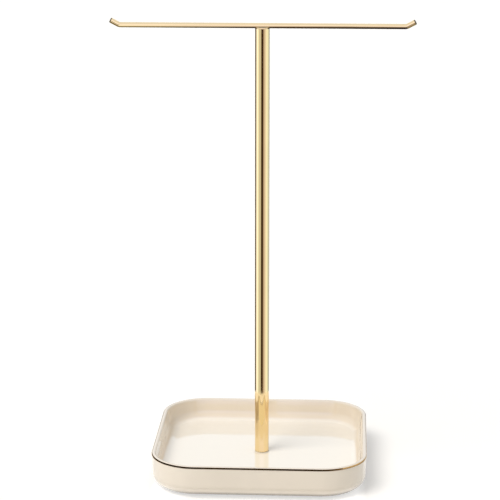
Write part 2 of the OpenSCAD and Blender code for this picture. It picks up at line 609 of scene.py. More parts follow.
def hollow(name, inner, outer, low, high, edge, segments=96):
    """A tube or washer about the post's axis, with its edges rounded."""
    corners = [(inner, low), (outer, low), (outer, high), (inner, high)]
    return turned(name, soften(corners, edge), closed=True, segments=segments)


def smooth(piece, degrees=35):
    """Smooth shading, with edges kept where the surface turns sharply."""
    piece.data.shade_smooth()
    piece.data.set_sharp_from_angle(angle=math.radians(degrees))


def settled(piece):
    """Turns a piece's modifiers into a plain mesh and takes them away."""
    bpy.context.view_layer.update()
    graph = bpy.context.evaluated_depsgraph_get()
    mesh = bpy.data.meshes.new_from_object(piece.evaluated_get(graph))
    old = piece.data
    piece.modifiers.clear()
    piece.data = mesh
    bpy.data.meshes.remove(old)
    mesh.name = piece.name
    return piece


def cut(piece, cutter):
    """Takes one closed shape out of another, and deletes the cutter."""
    tool = piece.modifiers.new("Cut", "BOOLEAN")
    tool.operation = "DIFFERENCE"
    tool.solver = "EXACT"
    tool.object = cutter
    settled(piece)
    bpy.data.objects.remove(cutter)


def finish_piece(piece, slot, materials, *nodes):
    """Gives a piece its materials and body, and hides the CAD nodes it stands for.

    Where a piece's own node tree has set its materials, none are given here. The slot
    is not used.
    """
    if materials:
        piece.data.materials.clear()
    for material in materials:
        piece.data.materials.append(material)
    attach(piece, "root")
    if nodes:
        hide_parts(*nodes)


# ------------------------------------------------------------ tray section


class WallSection:
    """The tray's wall in section: x outwards from the corners' axes, z up."""

    def __init__(self, settings):
        tray, gilding, pads = settings.tray, settings.gilding, settings.pads
        self.lip_radius = tray.wall / 2
        self.lip = (
            tray.corner_radius - self.lip_radius,
            tray.rim_height - self.lip_radius,
        )
        self.outer = math.degrees(tray.outer_lean)
        self.inner = math.degrees(tray.inner_lean)
        self.rise = math.degrees(gilding.rise)
        self.gilt_radius = self.lip_radius - gilding.thickness
        self.foot_level = pads.thickness
        self.floor_level = tray.rim_height - tray.well_depth
        self.slab_level = self.floor_level - tray.floor
        self.base = self.seat(self.outer, 1, tray.base_radius, self.foot_level)
        self.cove = self.seat(self.inner, -1, tray.cove_radius, self.floor_level)
        self.ring_outer = self.base[0]
        self.ring_inner = self.base[0] - tray.foot_width

    def seat(self, lean, side, radius, level):
        """Centre of a round that touches a leaning face and a level.

        side is 1 inside the outer face and -1 inside the well.
        """
        turn = math.radians(lean)
        off = self.lip_radius - radius if side == 1 else -self.lip_radius - radius
        x = self.lip[0] + off * math.cos(turn)
        z = self.lip[1] - off * math.sin(turn)
        height = level + radius
        return (x - (z - height) * math.tan(turn), height)


def tray_section(settings):
    """The tray's closed outline as (x, z, round the hole, bare) points."""
    tray = settings.tray
    wall = WallSection(settings)
    top, under = wall.floor_level, wall.slab_level
    hole, edge = tray.hole / 2, 0.0004
    # The floor is set out round the hole as far as the hub, and from there on
    # outwards from the corners' axes.
    hub, beyond = 0.012, 0.002
    # The glaze is wiped off just above the foot, from here on.
    wiped = -72
    rows = [(hole, z, 1, 0) for z in (under + edge, (under + top) / 2, top - edge)]
    turn = arc((hole + edge, top - edge), edge, 180, 90, 4)
    rows += [(x, z, 1, 0) for x, z in turn[1:]]
    rows += [(hub, top, 1, 0), (beyond, top, 0, 0), (wall.cove[0] - 0.003, top, 0, 0)]
    glazed = arc(wall.cove, tray.cove_radius, -90, -wall.inner, 14)
    glazed += arc(wall.lip, wall.lip_radius, 180 - wall.inner, wall.rise, 14)
    glazed += arc(wall.lip, wall.gilt_radius, wall.rise, -wall.outer, 8)
    glazed += arc(wall.base, tray.base_radius, -wall.outer, wiped, 14)
    rows += [(x, z, 0, 0) for x, z in glazed[:-1]]
    foot = arc(wall.base, tray.base_radius, wiped, -90, 5)
    heel = (wall.ring_inner + edge, wall.foot_level + edge)
    foot += arc(heel, edge, -90, -170, 4)
    rows += [(x, z, 0, 1) for x, z in foot]
    # A 1 mm round leads from the ring's inside to the underside.
    inside = arc((wall.ring_inner - 0.002, under - 0.001), 0.001, 10, 90, 4)
    rows += [(x, z, 0, 0) for x, z in inside]
    rows += [(beyond, under, 0, 0), (hub, under, 1, 0)]
    turn = arc((hole + edge, under + edge), edge, -90, -180, 4)
    rows += [(x, z, 1, 0) for x, z in turn[:-1]]
    return rows


def gilding_section(settings):
    """The gold line's closed outline, flush with the round of the lip."""
    wall = WallSection(settings)
    line = arc(wall.lip, wall.lip_radius, wall.rise, -wall.outer, 16)
    line += arc(wall.lip, wall.gilt_radius, -wall.outer, wall.rise, 16)
    return [(x, z, 0, 0) for x, z in line]


def section_object(name, rows):
    """The outline as a mesh of points that the node tree reads by index."""
    made = mesh_object(name, [(x, 0, z) for x, z, _, _ in rows])
    for k, flag in enumerate(("round_the_hole", "bare")):
        made.data.attributes.new(flag, "FLOAT", "POINT").data.foreach_set(
            "value", [float(row[2 + k]) for row in rows]
        )
    return made


def node_group(name, sockets):
    """A Geometry Nodes tree with its named inputs, and a mesh as its output."""
    tree = bpy.data.node_groups.new(name, "GeometryNodeTree")
    for socket, kind in sockets.items():
        kind = "NodeSocket" + kind
        tree.interface.new_socket(socket, in_out="INPUT", socket_type=kind)
    kind = "NodeSocketGeometry"
    tree.interface.new_socket("Mesh", in_out="OUTPUT", socket_type=kind)
    return tree, add(tree, "NodeGroupInput").outputs


def plan_sweep_tree():
    """Geometry Nodes: carries a section round a rounded rectangle.

    A grid has one row for each point of the section and one column for each
    station of the plan. Each of its points looks up its own point of the
    section and is set out from its corner's axis, or round the hole.
    """
    sockets = {"Section": "Geometry", "Axis X": "Float", "Axis Y": "Float"}
    sockets |= {"Corner radius": "Float", "Sharp above": "Float", "Steps": "Int"}
    sockets |= {"Surface": "Material", "Bare surface": "Material"}
    tree, given = node_group("Section_round_the_plan", sockets)
    points = add(tree, "GeometryNodeAttributeDomainSize", [given["Section"]])
    per_corner = add(tree, WHOLE, [given["Steps"], 1], operation="ADD")
    stations = add(tree, WHOLE, [per_corner, 4], operation="MULTIPLY")
    size = {
        "Vertices X": add(tree, WHOLE, [points, 1], operation="ADD"),
        "Vertices Y": add(tree, WHOLE, [stations, 1], operation="ADD"),
    }
    grid = add(tree, "GeometryNodeMeshGrid", size)
    # The last row and the last column lie on the first.
    place = [add(tree, "GeometryNodeInputIndex"), size["Vertices Y"]]
    row = add(tree, WHOLE, place, operation="DIVIDE_FLOOR")
    row = add(tree, WHOLE, [row, points], operation="MODULO")
    column = add(tree, WHOLE, place, operation="MODULO")
    column = add(tree, WHOLE, [column, stations], operation="MODULO")
    # The corner that a column goes round, and how far round the plan it is.
    corner = add(tree, WHOLE, [column, per_corner], operation="DIVIDE_FLOOR")
    share = add(tree, WHOLE, [column, per_corner], operation="MODULO")
    share = add(tree, MATH, [share, given["Steps"]], operation="DIVIDE")
    turn = add(tree, MATH, [corner, share], operation="ADD")
    turn = add(tree, MATH, [turn, math.pi / 2], operation="MULTIPLY")
    middle = add(tree, MATH, [corner, 0.5], operation="ADD")
    middle = add(tree, MATH, [middle, math.pi / 2], operation="MULTIPLY")
    # The corner's axis, and the way outwards from it.
    axis, outwards = [], []
    for operation, apart in (("COSINE", given["Axis X"]), ("SINE", given["Axis Y"])):
        side = add(tree, MATH, [middle], operation=operation)
        side = add(tree, MATH, [side], operation="SIGN")
        axis.append(add(tree, MATH, [side, apart], operation="MULTIPLY"))
        outwards.append(add(tree, MATH, [turn], operation=operation))
    axis, outwards = add(tree, JOINED, axis), add(tree, JOINED, outwards)
    # What the section has at the row's own point.
    found = {}
    for name, kind, value in (
        ("place", "FLOAT_VECTOR", add(tree, "GeometryNodeInputPosition")),
        ("round_the_hole", "FLOAT", add(tree, NAMED, ["round_the_hole"])),
        ("bare", "FLOAT", add(tree, NAMED, ["bare"])),
    ):
        inputs = {"Geometry": given["Section"], "Value": value, "Index": row}
        found[name] = add(tree, "GeometryNodeSampleIndex", inputs, data_type=kind)
    part = add(tree, PARTS, [found["place"]]).outputs
    off = add(tree, VECTOR, {0: outwards, "Scale": part["X"]}, operation="SCALE")
    on_wall = add(tree, VECTOR, [axis, off], operation="ADD")
    radius = {0: outwards, "Scale": given["Corner radius"]}
    rim = add(tree, VECTOR, radius, operation="SCALE")
    rim = add(tree, VECTOR, [axis, rim], operation="ADD")
    rim = add(tree, VECTOR, [rim], operation="NORMALIZE")
    on_hole = add(tree, VECTOR, {0: rim, "Scale": part["X"]}, operation="SCALE")
    either = {0: found["round_the_hole"], 4: on_wall, 5: on_hole}
    place = add(tree, MIX, either, data_type="VECTOR")
    upwards = add(tree, JOINED, {2: part["Z"]})
    place = add(tree, VECTOR, [place, upwards], operation="ADD")
    # The grid takes its shape, is closed, and gets its edges and materials.
    shape = add(tree, "GeometryNodeSetPosition", {0: grid, "Position": place})
    inputs = {0: shape, "Name": "bare", "Value": found["bare"]}
    shape = add(tree, "GeometryNodeStoreNamedAttribute", inputs)
    shape = add(tree, "GeometryNodeMergeByDistance", {0: shape, "Distance": 1e-6})
    shape = add(tree, "GeometryNodeSetShadeSmooth", [shape])
    bend = add(tree, "GeometryNodeInputMeshEdgeAngle")
    sharp = add(tree, MATH, [bend, given["Sharp above"]], operation="GREATER_THAN")
    inputs = [shape, sharp, False]
    shape = add(tree, "GeometryNodeSetShadeSmooth", inputs, domain="EDGE")
    shape = add(tree, "GeometryNodeRealizeInstances", [shape])
    shape = add(tree, SURFACE, {0: shape, "Material": given["Surface"]})
    bare = [add(tree, NAMED, ["bare"]), 0.99]
    bare = add(tree, MATH, bare, operation="GREATER_THAN")
    shape = add(tree, SURFACE, [shape, bare, given["Bare surface"]])
    add(tree, "NodeGroupOutput", [shape])
    return tree


def run_tree(piece, tree, values):
    """Puts a tree on a piece, sets its inputs by identifier, and settles it."""
    modifier = piece.modifiers.new(tree.name, "NODES")
    modifier.node_group = tree
    for item in tree.interface.items_tree:
        if item.item_type == "SOCKET" and item.in_out == "INPUT":
            if item.name in values:
                modifier[item.identifier] = values[item.name]
    return settled(piece)


def swept(name, rows, settings, surface, bare):
    """A section carried round the tray's plan by Geometry Nodes."""
    tray = settings.tray
    tree = bpy.data.node_groups.get("Section_round_the_plan") or plan_sweep_tree()
    return run_tree(
        section_object(name, rows),
        tree,
        {
            "Axis X": tray.width / 2 - tray.corner_radius,
            "Axis Y": tray.depth / 2 - tray.corner_radius,
            "Corner radius": tray.corner_radius,
            "Sharp above": math.radians(35),
            "Steps": 28,
            "Surface": surface,
            "Bare surface": bare,
        },
    )


def pad_tree():
    """Geometry Nodes: one pad at each corner of a rectangle."""
    sockets = {"Pad": "Geometry", "Apart X": "Float", "Apart Y": "Float"}
    tree, given = node_group("Pads_at_four_corners", sockets | {"Surface": "Material"})
    size = [given["Apart X"], given["Apart Y"], 2, 2]
    corners = add(tree, "GeometryNodeMeshGrid", size)
    inputs = {0: corners, "Instance": given["Pad"]}
    shape = add(tree, "GeometryNodeInstanceOnPoints", inputs)
    shape = add(tree, "GeometryNodeRealizeInstances", [shape])
    shape = add(tree, SURFACE, {0: shape, "Material": given["Surface"]})
    add(tree, "NodeGroupOutput", [shape])
    return tree


# --------------------------------------------------------------- operators


class STAND_OT_tray(bpy.types.Operator):
    """Make the glazed tray with its bare foot ring"""

    bl_idname = "jewellery_stand.tray"
    bl_label = "Tray"

    def execute(self, context):
        settings = context.scene.jewellery_stand
        glaze, clay = gloss_glaze(settings.tray), bare_clay(settings.tray)
        tray = swept("glazed_tray", tray_section(settings), settings, glaze, clay)
        finish_piece(tray, "glazed_ceramic", [], "tray")
        return {"FINISHED"}


class STAND_OT_gilding(bpy.types.Operator):
    """Make the fired gold line on the outside of the lip"""

    bl_idname = "jewellery_stand.gilding"
    bl_label = "Rim gilding"

    def execute(self, context):
        settings = context.scene.jewellery_stand
        lustre = fired_lustre(settings.gilding)
        line = swept("gold_line", gilding_section(settings), settings, lustre, lustre)
        finish_piece(line, "gold_lustre", [], "rim_gilding")
        return {"FINISHED"}


def rod_cutter(settings):
    """A plain rod along the bar's line, for the saddle across the post."""
    bar, reach, count = settings.bar, settings.post.diameter, 96
    gap = 0.00002
    radius = bar.rod / 2 + gap
    vertices = [
        (x, radius * y, bar.height + radius * z)
        for x in (-reach, reach)
        for y, z in ring(count)
    ]
    return plain_mesh("rod_cutter", vertices, closed_faces(2, count))


class STAND_OT_post(bpy.types.Operator):
    """Make the post's tube, the plug in its top and the braze"""

    bl_idname = "jewellery_stand.post"
    bl_label = "Post"

    def execute(self, context):
        settings = context.scene.jewellery_stand
        tray, post, bar = settings.tray, settings.post, settings.bar
        clamp = settings.clamp
        plate = gold_plate(post, "Polished_gold_plate_post", "Z")
        outer = post.diameter / 2
        inner = outer - post.wall
        foot = tray.rim_height - tray.well_depth + clamp.gasket_thickness
        top = bar.height - bar.rod / 2 + post.saddle
        segments = 128
        tube = hollow("post_sleeve", inner, outer, foot, top, 0.00025, segments)
        # The plug is pressed in, and its side is drawn just inside the tube's.
        side, low = inner - 0.00001, top - post.plug
        profile = [(0.0, low), (side, low), (side, top), (0.0, top)]
        profile = soften(profile, 0.0001, closed=False)
        plug = turned("post_cap_plug", profile, segments=segments)
        for piece, node in ((tube, "post_tube"), (plug, "post_head_plug")):
            cut(piece, rod_cutter(settings))
            smooth(piece)
            finish_piece(piece, "gold_plated_steel", [plate], node)
        self.braze(settings, plate, top)
        # The tapped insert is inside the tube, and its CAD shape is right.
        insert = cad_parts["post_foot_insert"]
        insert.data.materials.clear()
        insert.data.materials.append(zinc_plate(clamp))
        return {"FINISHED"}

    def braze(self, settings, plate, top):
        """A bead of braze in the wedge on each side of the rod.

        Each bead is a row of closed rings along the rod. A ring runs from the
        post's top in a hollow curve to the rod's side, and back inside both.
        """
        bar, radius = settings.bar, settings.bar.rod / 2
        start = math.degrees(math.asin((top - bar.height) / radius))
        seat = radius * math.cos(math.radians(start))
        stations, across = 33, 10
        vertices, faces = [], []
        for side in (1, -1):
            first = len(vertices)
            for k in range(stations):
                along = -1 + 2 * k / (stations - 1)
                # Full along the rod, and run out at both ends. At its fullest it
                # reaches 0.14 mm out on the post and 6 degrees up the rod.
                size = max(0.0, 1 - abs(along) ** 10)
                low = Vector((seat + 0.00012 * size + 0.00002, top))
                turn = math.radians(start + 5 * size + 1)
                y, z = radius * math.cos(turn), bar.height + radius * math.sin(turn)
                high = Vector((y, z))
                knee = Vector((y + 0.00003, top + 0.00004))
                hollows = [
                    low * (1 - t) ** 2 + knee * 2 * t * (1 - t) + high * t * t
                    for t in (j / (across - 3) for j in range(across - 2))
                ]
                back = [(high.x - 0.0002, high.y), (seat - 0.0003, top - 0.00012)]
                # It ends just short of the post's round edge.
                edge = (settings.post.diameter / 2) ** 2 - low.x**2
                width = math.sqrt(edge) - 0.0003
                for y, z in (*hollows, *back):
                    vertices.append((along * width, side * y, z))
            for face in closed_faces(stations, across):
                faces.append(tuple(first + v for v in face))
        beads = plain_mesh("braze_beads", vertices, faces)
        smooth(beads, 50)
        finish_piece(beads, "gold_plated_steel", [plate])


class STAND_OT_bar(bpy.types.Operator):
    """Make the hanging bar with its upturned, chamfered tips"""

    bl_idname = "jewellery_stand.bar"
    bl_label = "Hanging bar"

    def execute(self, context):
        settings = context.scene.jewellery_stand
        bar = settings.bar
        radius, turn_up = bar.rod / 2, bar.tip_angle
        sine, cosine = math.sin(turn_up), math.cos(turn_up)
        # Half of the centre line as (x, z above the bar, lean, radius).
        reach = bar.bend * sine + bar.tip * cosine + (radius - bar.chamfer) * sine
        run = bar.span / 2 - reach
        straights, bends = 8, 12
        half = [
            (run * k / straights, 0.0, 0.0, radius) for k in range(1, straights + 1)
        ]
        for lean in (turn_up * k / bends for k in range(1, bends + 1)):
            x, z = run + bar.bend * math.sin(lean), bar.bend * (1 - math.cos(lean))
            half.append((x, z, lean, radius))
        # The tip, from its straight part over the chamfer to the cut face.
        soft = bar.chamfer * 0.12
        show = bar.tip - bar.chamfer * 2
        for along, size in (
            (show, radius),
            (bar.tip - bar.chamfer - soft, radius),
            (bar.tip - bar.chamfer + soft, radius - soft),
            (bar.tip - soft, radius - bar.chamfer + soft),
            (bar.tip, radius - bar.chamfer - soft),
            (bar.tip, radius * 0.4),
        ):
            half.append((x + along * cosine, z + along * sine, turn_up, size))
        line = [(-x, z, -lean, size) for x, z, lean, size in reversed(half)]
        line += [(0.0, 0.0, 0.0, radius)] + half
        vertices, count = [], 64
        for middle, height, lean, size in line:
            for across, up in ring(count):
                up *= size
                out = middle - up * math.sin(lean)
                over = bar.height + height + up * math.cos(lean)
                vertices.append((out, size * across, over))
        rod = plain_mesh("hanging_rod", vertices, closed_faces(len(line), count))
        smooth(rod)
        plate = gold_plate(settings.post, "Polished_gold_plate_rod", "X")
        finish_piece(rod, "gold_plated_steel", [plate, sawn_end(bar)], "hanging_bar")
        # The cut face and the last of the tip show the rod's own metal, in a dark
        # colour that is partly painted shade.
        for polygon in rod.data.polygons:
            out = abs(polygon.center.x) - x
            over = polygon.center.z - bar.height - z
            if out * cosine + over * sine > show:
                polygon.material_index = 1
        return {"FINISHED"}


class STAND_OT_clamp(bpy.types.Operator):
    """Make the gasket, washers and cross-recess screw under the post"""

    bl_idname = "jewellery_stand.clamp"
    bl_label = "Clamping parts"

    def execute(self, context):
        settings = context.scene.jewellery_stand
        clamp, tray = settings.clamp, settings.tray
        bore = clamp.screw / 2 + clamp.clearance
        top = tray.rim_height - tray.well_depth
        seat = top - tray.floor - clamp.cushion_thickness
        head = seat - clamp.washer_thickness

        def washer(name, wide, low, thick, edge):
            made = hollow(name, bore, wide / 2, low, low + thick, edge)
            smooth(made, 60)
            return made

        wide, thick = settings.post.diameter, clamp.gasket_thickness
        gasket = washer("vinyl_gasket", wide, top, thick, 0.00015)
        finish_piece(gasket, "clear_vinyl", [soft_vinyl(clamp)], "post_gasket")
        wide, thick = clamp.cushion, clamp.cushion_thickness
        cushion = washer("rubber_washer", wide, seat, thick, 0.0004)
        rubber = moulded_rubber(clamp)
        finish_piece(cushion, "black_rubber", [rubber], "cushion_washer")
        wide, thick = clamp.washer, clamp.washer_thickness
        disc = washer("steel_disc", wide, head, thick, 0.0002)
        zinc = zinc_plate(clamp)
        finish_piece(disc, "zinc_plated_steel", [zinc], "steel_washer")
        screw = self.screw(clamp, head)
        finish_piece(screw, "zinc_plated_steel", [zinc], "clamp_screw")
        return {"FINISHED"}

    def screw(self, clamp, head):
        """A pan-head screw with a rolled thread and a tapered cross recess."""
        count, edge = 64, 0.0001
        big, crown, radius = clamp.head / 2, clamp.head_height, clamp.screw / 2
        low = head - crown
        # Rings of the outline as (radius, height, depth of the thread's groove).
        rows = [(r, z, 0.0) for r, z in arc((big - crown, head), crown, -90, -4, 12)]
        rows += [(big, head - edge, 0.0), (big - edge, head, 0.0), (radius, head, 0.0)]
        depth = clamp.pitch * 0.55
        start, stop = head + 0.0012, head + clamp.screw_length
        steps = int((stop - start) / clamp.pitch * 6)
        for share in (k / steps for k in range(steps + 1)):
            # The thread fades in under the head and out at the tip.
            fade = min(1.0, share * 8, (1 - share) * 12 + 0.2)
            rows.append((radius, start + (stop - start) * share, depth * fade))
        rows.append((radius - depth * 0.8, stop, 0.0))
        vertices = [(0.0, 0.0, low)]
        for size, z, groove in rows:
            for c, (x, y) in enumerate(ring(count)):
                phase = (z / clamp.pitch - c / count) % 1.0
                r = size - groove * abs(2 * phase - 1)
                vertices.append((r * x, r * y, z))
        vertices.append((0.0, 0.0, stop))
        faces = [(0, 1 + c, 1 + (c + 1) % count) for c in range(count)]
        for face in grid_faces(len(rows), count):
            faces.append(tuple(1 + v for v in face))
        last = len(vertices) - 1
        end = last - count
        faces += [(last, end + (c + 1) % count, end + c) for c in range(count)]
        made = plain_mesh("pan_head_screw", vertices, faces)
        cut(made, self.recess(clamp, low))
        smooth(made, 40)
        return made

    def recess(self, clamp, low):
        """The driver's shape: a cross that narrows to a point."""
        wide, slot = clamp.recess / 2, clamp.recess_slot / 2
        # A quarter of the cross, whose inner corner is filled a little.
        fill, edge = slot * 1.25, 0.00022
        arm, cross = [(wide, slot), (fill, fill), (slot, wide)], []
        for _ in range(4):
            cross += arm
            arm = [(-y, x) for x, y in arm]
        outline = soften(cross, edge, 3)
        vertices = []
        # Each level is a share of the depth, with the cross's size there.
        for share, size in ((-0.3, 1.08), (0.0, 1.0), (0.75, 0.62), (1.0, 0.3)):
            z = low + clamp.recess_depth * share
            vertices += [(x * size, y * size, z) for x, y in outline]
        return plain_mesh("driver_shape", vertices, closed_faces(4, len(outline)))


class STAND_OT_pads(bpy.types.Operator):
    """Make the four stick-on pads under the foot ring"""

    bl_idname = "jewellery_stand.pads"
    bl_label = "Foot pads"

    def execute(self, context):
        settings = context.scene.jewellery_stand
        tray, pads = settings.tray, settings.pads
        wall = WallSection(settings)
        middle = (wall.ring_outer + wall.ring_inner) / 2 * math.cos(math.pi / 4)
        radius, thick, edge = pads.diameter / 2, pads.thickness, 0.00035
        profile = [(0.0, 0.0), (radius * 0.8, 0.0)]
        profile += arc((radius - edge, edge), edge, -80, 0, 5)
        profile += [(radius, thick * 0.85), (radius, thick), (0.0, thick)]
        pad = turned("silicone_pads", profile, segments=64)
        smooth(pad, 40)
        values = {
            "Apart X": 2 * (tray.width / 2 - tray.corner_radius + middle),
            "Apart Y": 2 * (tray.depth / 2 - tray.corner_radius + middle),
            "Surface": frosted_silicone(pads),
        }
        run_tree(pad, pad_tree(), values)
        finish_piece(
            pad,
            "silicone_pad",
            [],
            "foot_pad_front_right",
            "foot_pad_back_right",
            "foot_pad_back_left",
            "foot_pad_front_left",
        )
        return {"FINISHED"}


# ------------------------------------------------------------------- stage


def seen_or_mirrored(tree):
    """1 for what the camera sees, directly, in a mirror or through glass."""
    light = add(tree, "ShaderNodeLightPath").outputs
    rays = [light["Is Camera Ray"], light["Is Glossy Ray"]]
    seen = [add(tree, MATH, rays, operation="MAXIMUM"), light["Is Transmission Ray"]]
    return add(tree, MATH, seen, operation="MAXIMUM")


def level(wide, deep, height):
    """Corners of a level rectangle over the middle, from half its sides."""
    plan = [(-wide, -deep), (wide, -deep), (wide, deep), (-wide, deep)]
    return [(x, y, height) for x, y in plan]


def tones(tree, factor, stops):
    """Blends linear colours along a factor, from stops of (place, colour)."""
    made = add(tree, "ShaderNodeValToRGB", [factor])
    elements = made.color_ramp.elements
    while len(elements) > 1:
        elements.remove(elements[-1])
    for k, (place, *rgb) in enumerate(stops):
        stop = elements[0] if k == 0 else elements.new(place)
        stop.position = place
        stop.color = (*rgb, 1)
    return made


def by_place(half, stops):
    """Tones from left to right, between -half and half on X."""

    def shown(tree):
        place = add(tree, SPREAD, [coordinates(tree)["X"], -half, half])
        return tones(tree, place, stops)

    return shown


class STAND_OT_stage(bpy.types.Operator):
    """Make the pale floor, the studio light, its cards and the camera"""

    bl_idname = "jewellery_stand.stage"
    bl_label = "Stage"
    # The camera, in metres and radians, and its bearing from the post.
    camera_place = (0.0603, -1.3042, 0.4835)
    camera_down, camera_left = 0.2441, 0.0527
    bearing = math.radians(2.65)
    # The key light comes from the left, a little in front and high.
    key_turn = (math.radians(22), math.radians(-27), 0)
    key_softness = math.radians(34)
    # The eye sees the table partly by a glow, which lifts its shadows: 0.60 of
    # white out to 68 mm from the middle, under the base, and 0.28 from 75 mm.
    # What the lights add is this share of its colour.
    table_lift = (0.068, 0.075, 0.60, 0.28)
    table_share = 0.855
    # How far a card stands off the metal that mirrors it, and the cards before
    # the rim off the lip.
    clear, before_rim = 0.0001, 0.003

    def execute(self, context):
        scene = context.scene
        stage = scene.jewellery_stand.stage
        scene.view_settings.view_transform = "Standard"
        self.world(scene, stage)
        self.floor(stage)
        self.cards(scene.jewellery_stand)
        sun = bpy.data.lights.new("Key", "SUN")
        sun.energy = stage.key
        sun.angle = self.key_softness
        sun.color = linear("#FFFBF5")[:3]
        key = bpy.data.objects.new("Key", sun)
        scene.collection.objects.link(key)
        key.rotation_euler = self.key_turn
        key.visible_glossy = False
        camera = bpy.data.cameras.new("Camera")
        camera.lens = stage.lens
        camera.sensor_width = 36
        camera.clip_end = 50
        holder = bpy.data.objects.new("Camera", camera)
        holder.location = self.camera_place
        holder.rotation_euler = (math.pi / 2 - self.camera_down, 0, self.camera_left)
        scene.collection.objects.link(holder)
        scene.camera = holder
        return {"FINISHED"}

    def world(self, scene, stage):
        """Even light all round, and plain white behind everything."""
        world = bpy.data.worlds.new("Studio")
        world.use_nodes = True
        scene.world = world
        tree = world.node_tree
        tree.nodes.clear()
        white, full = (1, 1, 1, 1), 1.0
        seen = seen_or_mirrored(tree)
        strength = add(tree, SPREAD, [seen, 0.0, 1.0, stage.fill, full])
        light = add(tree, "ShaderNodeBackground", [white, strength])
        add(tree, "ShaderNodeOutputWorld", [light])

    def floor(self, stage):
        """A pale matt table that reads white where nothing shades it."""
        table = mesh_object("table", level(9, 9, 0), [range(4)])
        material, tree = blank_material("Matt_white_table")
        seen = seen_or_mirrored(tree)
        pale = linear(stage.table)
        shown = [self.table_share * c for c in pale[:3]] + [1.0]
        body = add(tree, MIX, {0: seen, 6: pale, 7: shown}, data_type="RGBA")
        matt = add(tree, "ShaderNodeBsdfDiffuse", [body])
        part = coordinates(tree)
        sides = [add(tree, MATH, [part[axis]], operation="ABSOLUTE") for axis in "XY"]
        off = add(tree, MATH, sides, operation="MAXIMUM")
        lift = [seen, add(tree, SPREAD, [off, *self.table_lift])]
        lift = add(tree, MATH, lift, operation="MULTIPLY")
        glow = add(tree, "ShaderNodeEmission", {"Strength": lift})
        both = add(tree, "ShaderNodeAddShader", [matt, glow])
        add(tree, "ShaderNodeOutputMaterial", [both])
        table.data.materials.append(material)

    def card(self, name, corners, tone):
        """A flat card of any outline, for the mirrors."""
        faces = [range(len(corners))]
        self.only_mirrored(mesh_object(name, corners, faces), tone)

    def cards(self, settings):
        """Cards that only the gold mirrors: they give it its tones."""
        self.surround()
        # A softbox above.
        self.card("card_top", level(0.8, 0.7, 1.5), (0.86, 0.95, 1.22))
        self.before_tray(settings.tray)
        # Dusk under the bar's straight run, and the room's light before it.
        bar = settings.bar
        low = bar.height - bar.rod / 2 - self.clear
        end = bar.span / 2 - bar.tip
        left, middle, right = -0.0022, -0.0030, -0.0037
        under = [(-end, left), (0, middle), (end, right), (end, 0.003), (-end, 0.003)]
        under_tones = (
            (0.0, 0.22, 0.20, 0.11),
            (0.45, 0.045, 0.028, 0.009),
            (1.0, 0.015, 0.006, 0.001),
        )
        before = [(-end, -0.040), (end, -0.040), (end, right), (-end, left)]
        before_tones = (
            (0.0, 1.10, 1.15, 1.25),
            (0.45, 0.78, 0.76, 0.92),
            (0.8, 0.36, 0.34, 0.36),
            (1.0, 0.40, 0.38, 0.40),
        )
        for name, outline, stops in (
            ("card_under_bar", under, under_tones),
            ("card_before_bar", before, before_tones),
        ):
            self.card(name, [(x, y, low) for x, y in outline], by_place(end, stops))
        self.under_tips(bar, low, end)
        # The shade under the rod goes on over the post's flat top, and the
        # rod above it mirrors the same light as beside the post.
        top = bar.height - bar.rod / 2 + settings.post.saddle + self.clear / 2
        reach = settings.post.diameter / 2 - self.clear
        half_disc = [(x, y, top) for x, y in arc((0, 0), reach, 180, 360, 24)]

        def both_sides(tree):
            below = add(tree, "ShaderNodeNewGeometry").outputs["Backfacing"]
            shades = {0: below, 6: (0.62, 0.60, 0.68, 1), 7: (0.02, 0.01, 0.002, 1)}
            return add(tree, MIX, shades, data_type="RGBA")

        self.card("card_at_joint", half_disc, both_sides)
        # A wide softbox over the camera, for the bar's upper front.
        wide, away, foot, head = 2.5, -3.2, 0.02, 2.6
        over = [(-wide, away, foot), (wide, away, foot), (wide, away, head)]
        over.append((-wide, away, head))
        self.card("card_over_camera", over, (1.15, 1.18, 1.55))

    def under_tips(self, bar, low, end):
        """A dark card under each upturned tip."""
        sine, cosine = math.sin(bar.tip_angle), math.cos(bar.tip_angle)
        radius = bar.rod / 2
        off = radius + self.clear
        x = bar.span / 2 - (radius - bar.chamfer) * sine + off * sine
        z = bar.height + bar.bend * (1 - cosine) + bar.tip * sine - off * cosine
        back = 0.003
        for name, side, front, tone in (
            ("card_left_tip", -1, -0.0026, (0.20, 0.15, 0.06)),
            ("card_right_tip", 1, -0.0028, (0.26, 0.25, 0.17)),
        ):
            near, far = side * end, side * x
            corners = [(near, front, low), (far, front, z), (far, back, z)]
            self.card(name, [*corners, (near, back, low)], tone)

    def along_front(self, name, tray, edges, left, right, back_to=None):
        """A band along the rim's front, and round its corners.

        Each edge is (outwards from the lip, height), in metres. It goes from
        one angle, or a place on the left side, to another angle.
        """
        across = tray.width / 2 - tray.corner_radius
        back = tray.corner_radius - tray.depth / 2
        vertices = []
        for off, height in edges:
            radius = tray.corner_radius + off
            plan = [] if back_to is None else [(-across - radius, back_to)]
            plan += arc((-across, back), radius, left, 270, 12)
            plan += arc((across, back), radius, 270, right, 12)
            vertices += [(x, y, height) for x, y in plan]
        count = len(plan)
        faces = []
        for row in range(len(edges) - 1):
            for k in range(row * count, row * count + count - 1):
                faces.append((k, k + 1, count + k + 1, count + k))
        return plain_mesh(name, vertices, faces)

    def before_tray(self, tray):
        """Cards for the gold line, the front's outside and the post's foot."""
